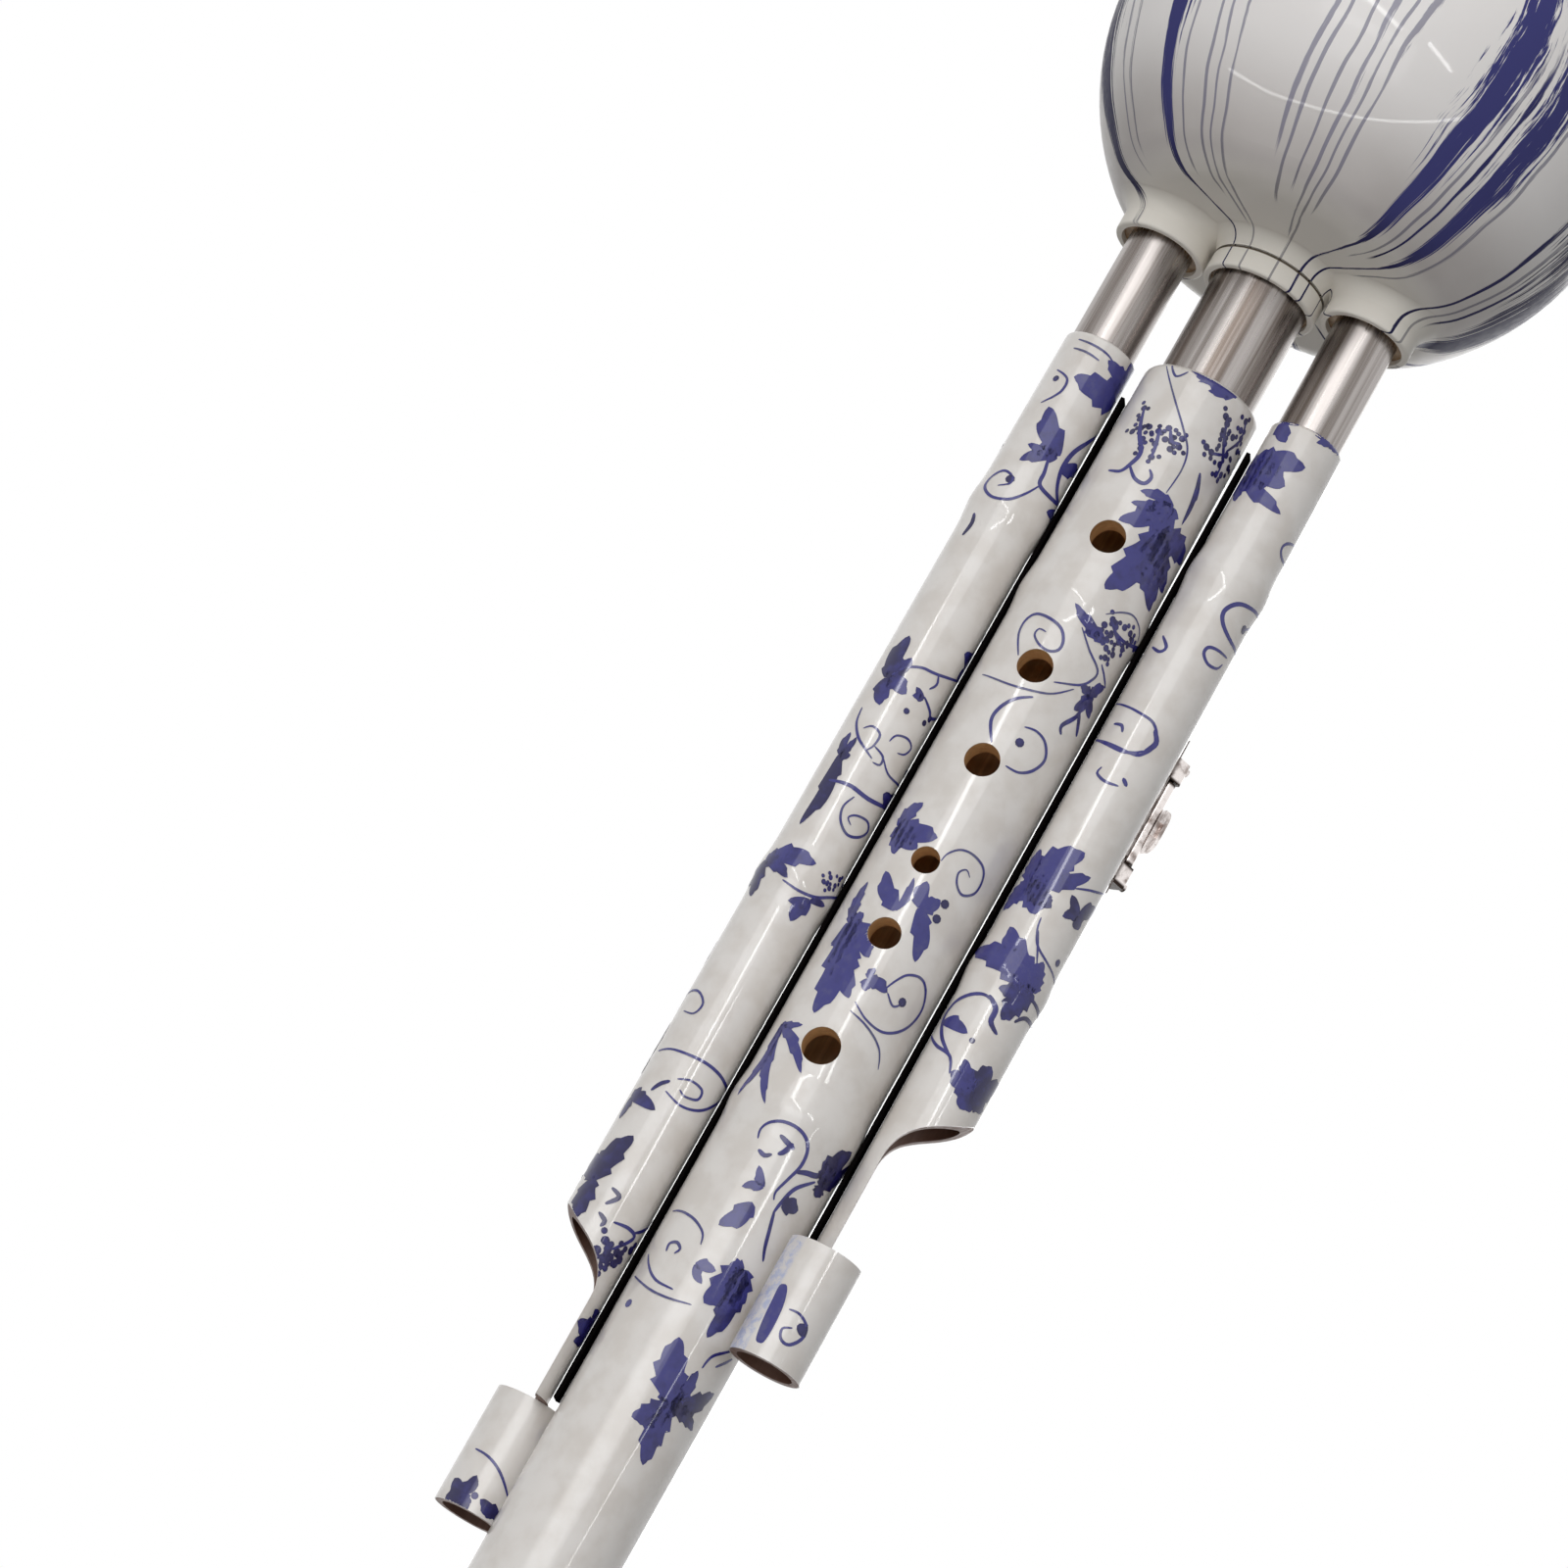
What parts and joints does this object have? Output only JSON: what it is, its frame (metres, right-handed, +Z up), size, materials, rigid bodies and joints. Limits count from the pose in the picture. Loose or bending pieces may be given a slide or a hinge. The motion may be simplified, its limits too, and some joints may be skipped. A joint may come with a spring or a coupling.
{
  "type": "hulusi",
  "caption": "Gourd flute with a melody pipe between two drone pipes on bare metal tubes, cut-away drone feet with tail rings and a small sprung drone key.",
  "frame": {"origin": "centre of the melody pipe's foot, on the end of the peg bore", "axes": "+Z up along the melody pipe to the gourd and mouthpiece, -Y out of the finger holes, +X towards the drone with the key"},
  "size_m": [0.1024, 0.1024, 0.493],
  "materials": {
    "pipe_wood": "satin",
    "printed_film": "gloss",
    "strip_felt": "matte",
    "gourd_lacquer": "gloss",
    "bush_wood": "satin",
    "stock_metal": "satin",
    "reed_brass": "satin",
    "mouthpiece_wood": "polished",
    "cork": "matte",
    "key_metal": "polished",
    "spring_steel": "satin",
    "pad_leather": "matte"
  },
  "bodies": {
    "melody_pipe": {"main_pipe": "pipe_wood", "main_pipe_film": "printed_film", "left_strip": "strip_felt", "right_strip": "strip_felt"},
    "gourd": {"gourd_shell": "gourd_lacquer", "main_collar": "gourd_lacquer", "left_collar": "gourd_lacquer", "right_collar": "gourd_lacquer", "main_bush": "bush_wood", "left_bush": "bush_wood", "right_bush": "bush_wood", "main_stock": "stock_metal", "left_stock": "stock_metal", "right_stock": "stock_metal", "main_reed_holder": "reed_brass", "left_reed_holder": "reed_brass", "right_reed_holder": "reed_brass", "main_reed_plate": "reed_brass", "left_reed_plate": "reed_brass", "right_reed_plate": "reed_brass", "mouthpiece": "mouthpiece_wood", "mouthpiece_ferrule": "stock_metal", "mouthpiece_cork": "cork"},
    "left_drone_pipe": {"left_drone": "pipe_wood", "left_drone_film": "printed_film", "left_tail_ring": "pipe_wood", "left_ring_film": "printed_film"},
    "right_drone_pipe": {"right_drone": "pipe_wood", "right_drone_film": "printed_film", "right_tail_ring": "pipe_wood", "right_ring_film": "printed_film", "key_base": "key_metal", "lower_key_post": "key_metal", "upper_key_post": "key_metal", "key_rod": "key_metal", "key_screws": "key_metal", "key_spring": "spring_steel", "tone_seat": "key_metal"},
    "key_lever": {"key_barrel": "key_metal", "key_touch": "key_metal", "key_cup": "key_metal", "key_pad": "pad_leather"},
    "main_reed": {"main_reed_tongue": "reed_brass"},
    "left_reed": {"left_reed_tongue": "reed_brass"},
    "right_reed": {"right_reed_tongue": "reed_brass"}
  },
  "joints": [
    {"name": "melody_pipe_slide", "type": "slide", "parent": "melody_pipe", "child": "gourd", "axis": [0, 0, 1], "range_m": [0, 0.008]},
    {"name": "left_drone_slide", "type": "slide", "parent": "gourd", "child": "left_drone_pipe", "axis": [0, 0, -1], "range_m": [0, 0.012]},
    {"name": "right_drone_slide", "type": "slide", "parent": "gourd", "child": "right_drone_pipe", "axis": [0, 0, -1], "range_m": [0, 0.012]},
    {"name": "key_hinge", "type": "hinge", "parent": "right_drone_pipe", "child": "key_lever", "pos_m": [0.02783, 0.00749, 0.1876], "axis": [0, 0, 1], "range_deg": [0, 14], "stiffness_Nm_per_rad": 0.01, "springref_deg": -11.46},
    {"name": "main_reed_hinge", "type": "hinge", "parent": "gourd", "child": "main_reed", "pos_m": [0, -0.00539, 0.33695], "axis": [1, 0, 0], "range_deg": [-3, 3], "stiffness_Nm_per_rad": 0.001},
    {"name": "left_reed_hinge", "type": "hinge", "parent": "gourd", "child": "left_reed", "pos_m": [-0.0212, -0.00439, 0.33495], "axis": [1, 0, 0], "range_deg": [-3, 3], "stiffness_Nm_per_rad": 0.001},
    {"name": "right_reed_hinge", "type": "hinge", "parent": "gourd", "child": "right_reed", "pos_m": [0.0212, -0.00439, 0.33495], "axis": [1, 0, 0], "range_deg": [-3, 3], "stiffness_Nm_per_rad": 0.001}
  ]
}
